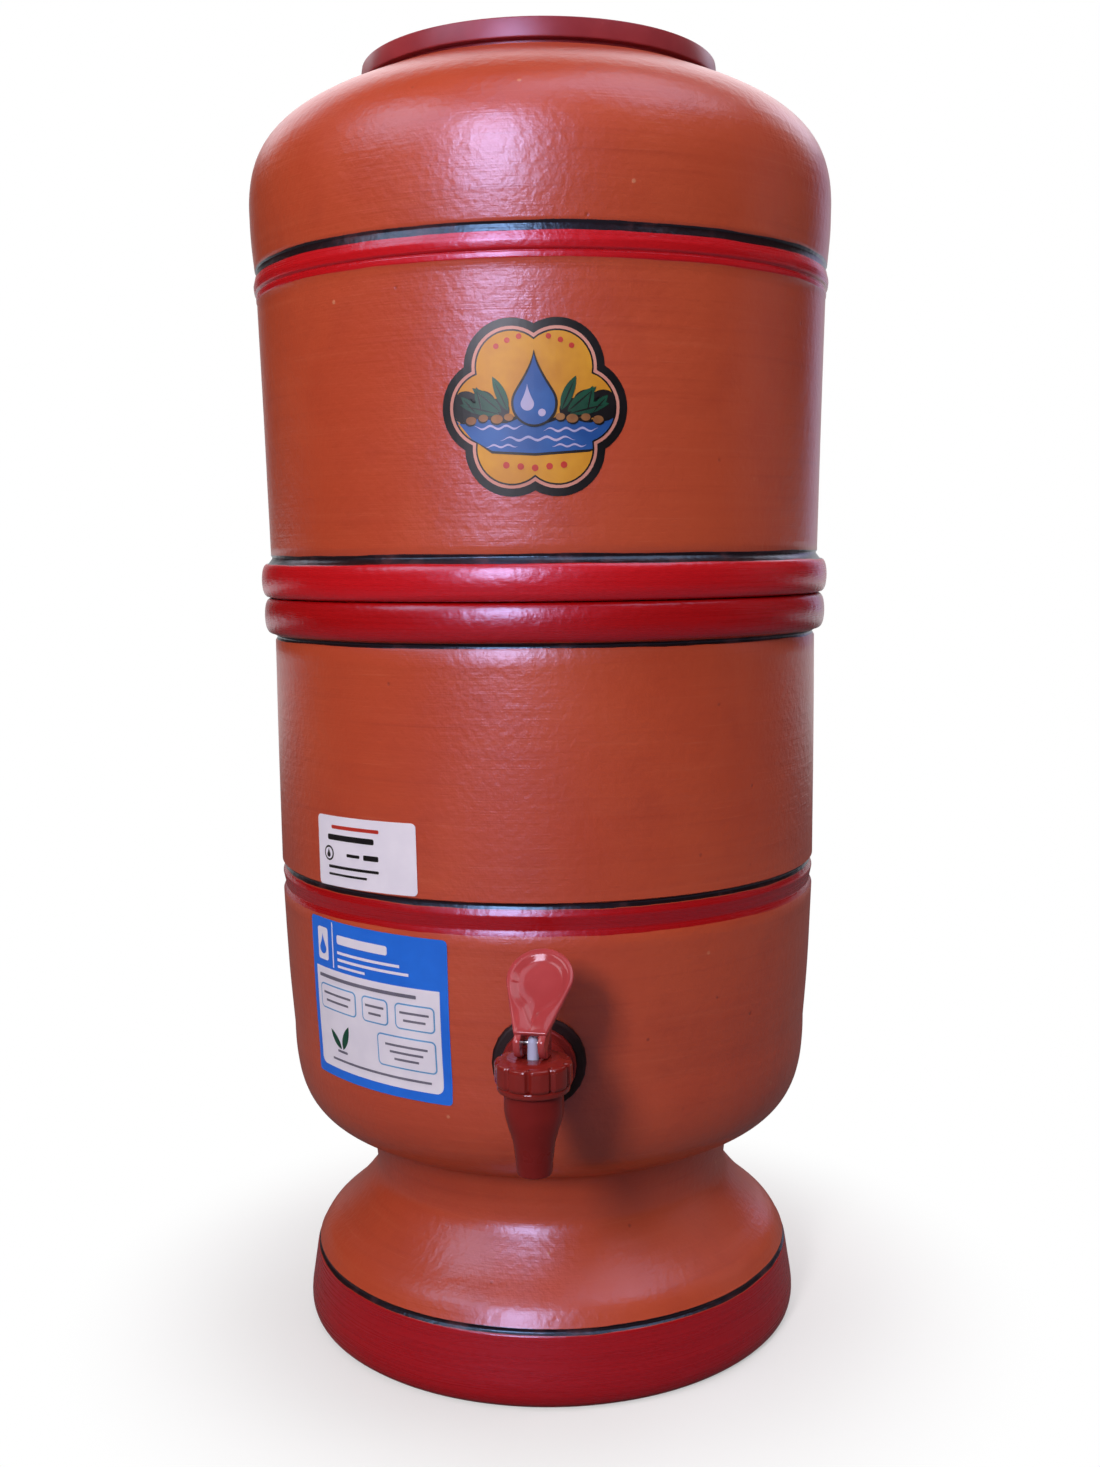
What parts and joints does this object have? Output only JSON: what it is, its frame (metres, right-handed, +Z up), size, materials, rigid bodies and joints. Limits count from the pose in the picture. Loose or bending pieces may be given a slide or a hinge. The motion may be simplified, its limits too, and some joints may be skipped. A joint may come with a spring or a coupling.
{
  "type": "gravity water filter",
  "caption": "Terracotta water filter: upper vessel with a ceramic candle and float valve, stacked on a footed lower vessel with a lever tap, under a lift-off lid.",
  "frame": {"origin": "floor, at the middle of the footprint (the vessels' own axis is 26.6 mm behind it, the tap reaches 144 mm in front of it)", "axes": "+Z up along the vessels' axis, -Y towards the tap and the user, +X to the user's right"},
  "size_m": [0.2354, 0.2886, 0.5164],
  "materials": {
    "lower_vessel": "fired terracotta, matt, with red and black painted bands",
    "upper_vessel": "fired terracotta, matt, with red and black painted bands",
    "lid": "moulded maroon plastic, semi-gloss",
    "candle_dome": "white unglazed filter ceramic",
    "candle_cap": "white moulded plastic",
    "candle_gasket": "black rubber",
    "candle_washer": "black rubber",
    "candle_wing_nut": "white moulded plastic",
    "float_valve_body": "white moulded plastic",
    "float_pin": "stainless steel",
    "float_arm": "white moulded plastic",
    "float_pad": "black rubber",
    "float_ball": "white moulded plastic, hollow",
    "tap_body": "brick-red moulded plastic, glossy",
    "tap_outer_gasket": "dark rubber",
    "tap_inner_gasket": "dark rubber",
    "tap_shank_nut": "white moulded plastic",
    "tap_bonnet": "brick-red moulded plastic, glossy",
    "tap_seat_cup": "translucent silicone",
    "tap_stem": "white moulded plastic",
    "tap_lever_pin": "stainless steel",
    "tap_lever": "brick-red moulded plastic, semi-gloss"
  },
  "bodies": {
    "lower_unit": {"lower_vessel": "lower_vessel", "tap_body": "tap_body", "tap_outer_gasket": "tap_outer_gasket", "tap_inner_gasket": "tap_inner_gasket", "tap_shank_nut": "tap_shank_nut", "tap_bonnet": "tap_bonnet"},
    "upper_unit": {"upper_vessel": "upper_vessel", "candle_dome": "candle_dome", "candle_cap": "candle_cap", "candle_gasket": "candle_gasket", "candle_washer": "candle_washer", "candle_wing_nut": "candle_wing_nut", "float_valve_body": "float_valve_body", "float_pin": "float_pin"},
    "lid": {"lid": "lid"},
    "float": {"float_arm": "float_arm", "float_pad": "float_pad", "float_ball": "float_ball"},
    "seat_cup": {"tap_seat_cup": "tap_seat_cup"},
    "stem": {"tap_stem": "tap_stem", "tap_lever_pin": "tap_lever_pin"},
    "lever": {"tap_lever": "tap_lever"}
  },
  "joints": [
    {"name": "upper_vessel_lift", "type": "slide", "parent": "lower_unit", "child": "upper_unit", "axis": [0, 0, 1], "range_m": [0, 0.14]},
    {"name": "lid_lift", "type": "slide", "parent": "upper_unit", "child": "lid", "axis": [0, 0, 1], "range_m": [0, 0.06]},
    {"name": "float_swing", "type": "hinge", "parent": "upper_unit", "child": "float", "pos_m": [-0.009, 0.02661, 0.2551], "axis": [0, -1, 0], "range_deg": [-10, 90.4]},
    {"name": "valve_lift", "type": "slide", "parent": "lower_unit", "child": "seat_cup", "axis": [0, 0, 1], "range_m": [0, 0.0025], "deforming": ["tap_seat_cup"]},
    {"name": "lever_swivel", "type": "hinge", "parent": "seat_cup", "child": "stem", "pos_m": [0, -0.13106, 0.1606], "axis": [0, 0, 1], "range_deg": [-50, 70]},
    {"name": "lever_tilt", "type": "hinge", "parent": "stem", "child": "lever", "pos_m": [0, -0.13106, 0.1606], "axis": [0.9833, -0.1822, 0], "range_deg": [0, 90]}
  ],
  "couplings": [
    {"joint": "valve_lift", "follows": "lever_tilt", "m_per_rad": 0.00159}
  ]
}
